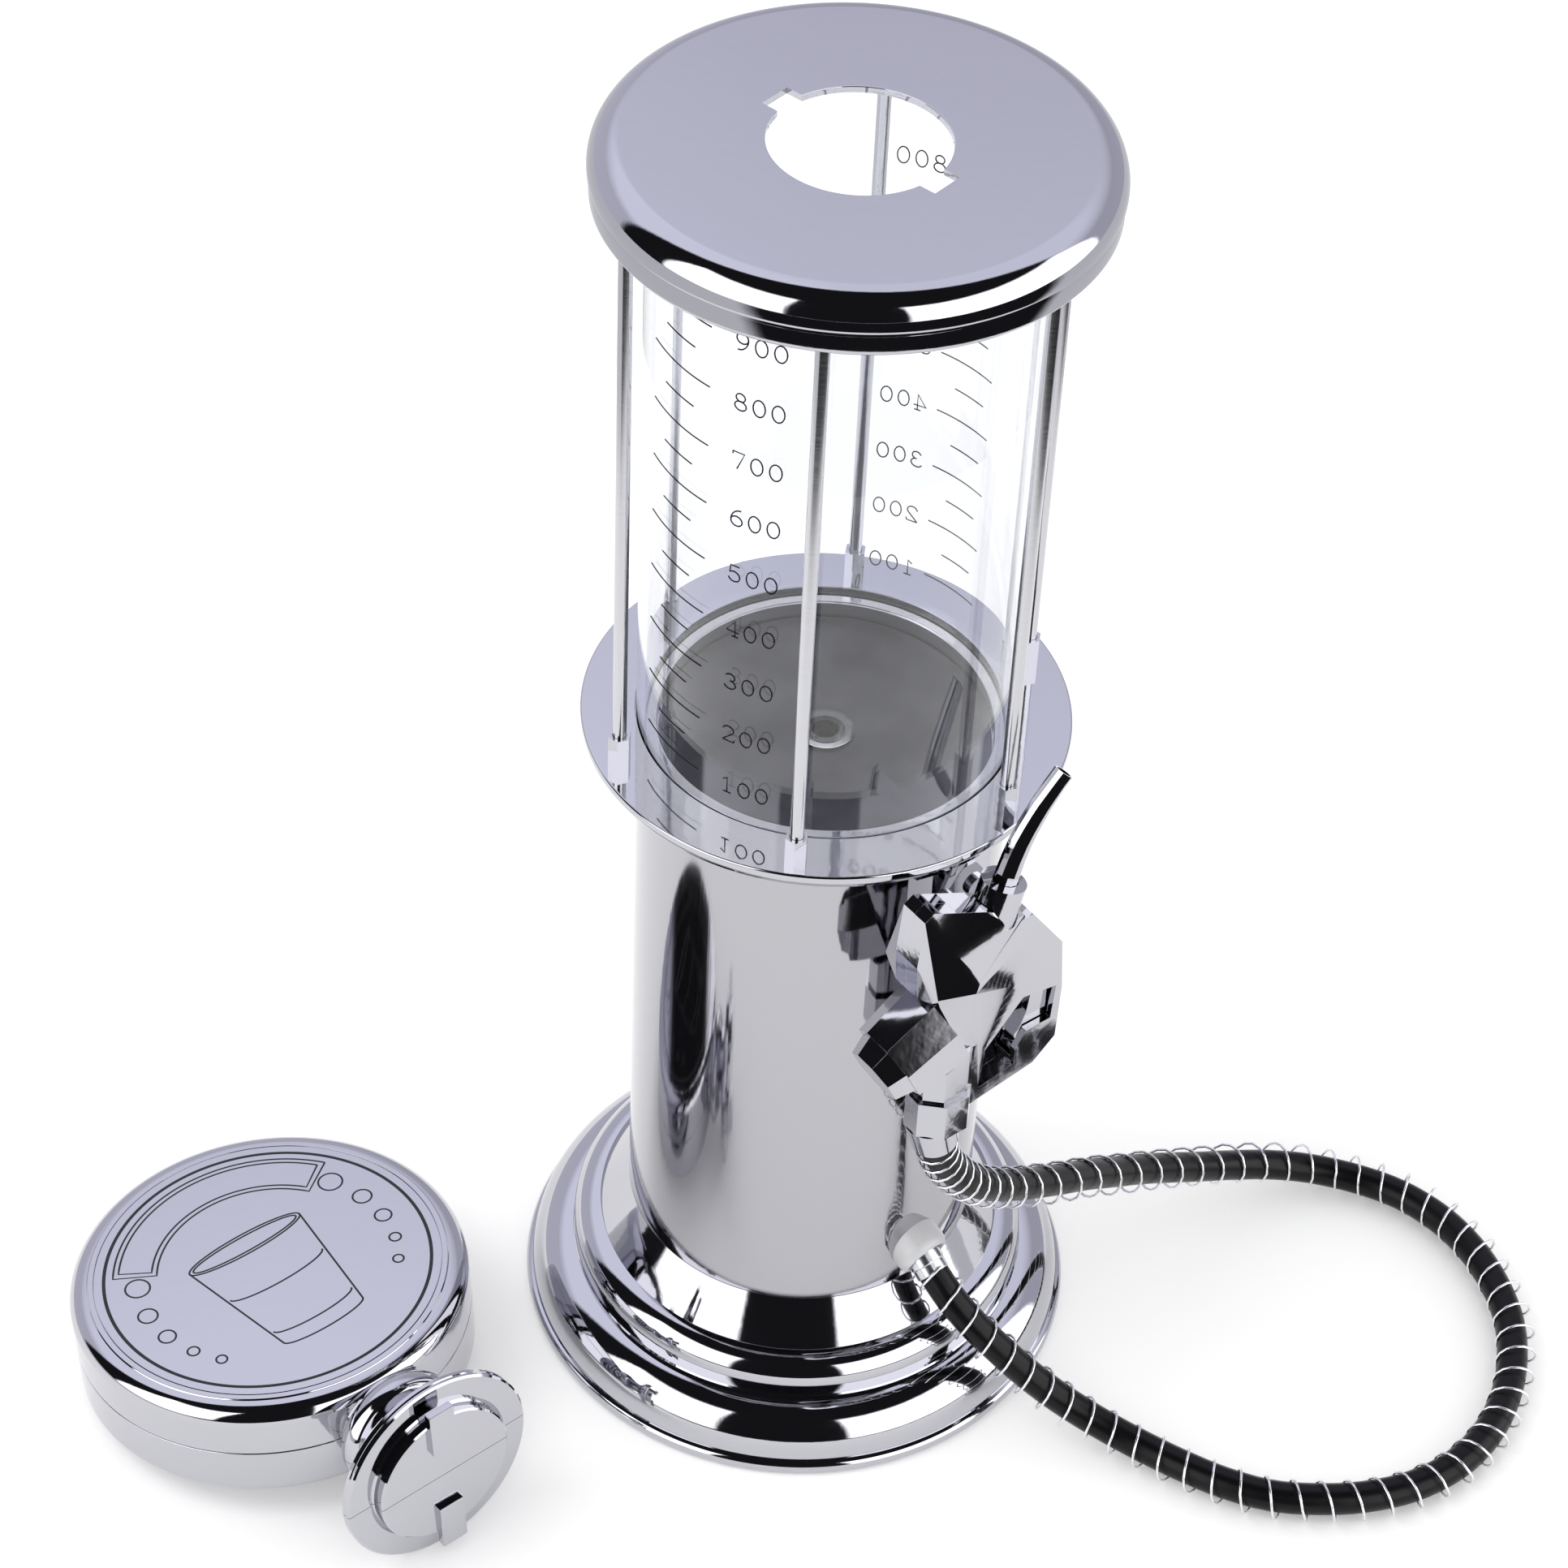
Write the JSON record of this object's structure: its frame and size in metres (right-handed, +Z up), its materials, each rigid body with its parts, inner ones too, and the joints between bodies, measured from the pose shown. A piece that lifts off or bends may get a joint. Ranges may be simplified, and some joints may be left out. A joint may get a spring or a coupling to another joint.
{
  "type": "countertop drinks dispenser",
  "caption": "Countertop drinks dispenser shaped like an old petrol pump, with a clear graduated tank, a trigger nozzle on a hose and a lift-off round topper.",
  "frame": {"origin": "centre of the base, on the table", "axes": "+Z up along the column, -Y towards the nozzle bracket, +X to the pump's right as the nozzle is faced from behind the column"},
  "size_m": [0.3471, 0.2754, 0.3742],
  "materials": {
    "chrome_plastic": "mirror-bright chrome plate over moulded ABS",
    "column_steel": "polished stainless tube",
    "rod_steel": "drawn and polished steel rod",
    "floor_metal": "satin spun disc",
    "clear_acrylic": "clear extruded acrylic with a printed scale",
    "clear_plastic": "clear moulded plastic",
    "screw_steel": "zinc-plated steel",
    "gland_nylon": "pale moulded nylon",
    "black_hose": "glossy black vinyl hose in a wire spiral",
    "seal_rubber": "matt black rubber",
    "pad_foam": "matt foam rubber",
    "plate_plastic": "black moulded plastic",
    "weight_iron": "rough cast iron"
  },
  "bodies": {
    "machine": {"base_pad": "pad_foam", "bottom_plate": "plate_plastic", "base_weight": "weight_iron", "bottom_screws": "screw_steel", "base_shell": "chrome_plastic", "column": "column_steel", "hose_gland": "gland_nylon", "gland_nut": "screw_steel", "inner_hose": "clear_plastic", "collar": "chrome_plastic", "lower_gasket": "seal_rubber", "tank_floor": "floor_metal", "drain_spigot": "clear_plastic", "drain_nut": "screw_steel", "tank_tube": "clear_acrylic", "upper_gasket": "seal_rubber", "rod_plate": "chrome_plastic", "top_cap": "chrome_plastic", "tie_rod_1": "rod_steel", "tie_rod_2": "rod_steel", "tie_rod_3": "rod_steel", "tie_rod_4": "rod_steel", "tie_rod_5": "rod_steel", "tie_rod_6": "rod_steel", "rod_feet": "rod_steel", "rod_nuts": "rod_steel", "bracket": "chrome_plastic", "bracket_screws": "screw_steel", "hose": "black_hose"},
    "nozzle": {"nozzle_front_shell": "chrome_plastic", "nozzle_back_shell": "chrome_plastic", "valve_cap": "chrome_plastic", "valve_ring": "chrome_plastic", "spout_nut": "chrome_plastic", "spout": "chrome_plastic", "hose_fitting": "chrome_plastic", "valve_spring": "screw_steel", "trigger_pin": "screw_steel"},
    "trigger": {"trigger": "chrome_plastic"},
    "valve": {"valve_stem": "screw_steel", "valve_seal": "seal_rubber"},
    "topper": {"topper_front_shell": "chrome_plastic", "topper_back_shell": "chrome_plastic", "topper_face": "chrome_plastic", "topper_screws": "screw_steel"}
  },
  "joints": [
    {"name": "nozzle_pull", "type": "slide", "parent": "machine", "child": "nozzle", "axis": [0, -1, 0], "range_m": [0, 0.025]},
    {"name": "trigger_squeeze", "type": "hinge", "parent": "nozzle", "child": "trigger", "pos_m": [0.014, -0.065, 0.1395], "axis": [0, -1, 0], "range_deg": [0, 6], "stiffness_Nm_per_rad": 0.05, "springref_deg": -17.19},
    {"name": "valve_slide", "type": "slide", "parent": "nozzle", "child": "valve", "axis": [-0.9063, 0, -0.4226], "range_m": [0, 0.0035], "deforming": ["valve_spring"]},
    {"name": "topper_lift", "type": "slide", "parent": "machine", "child": "topper", "axis": [0, 0, 1], "range_m": [0, 0.06]}
  ],
  "couplings": [
    {"joint": "valve_slide", "follows": "trigger_squeeze", "m_per_rad": 0.0319}
  ]
}
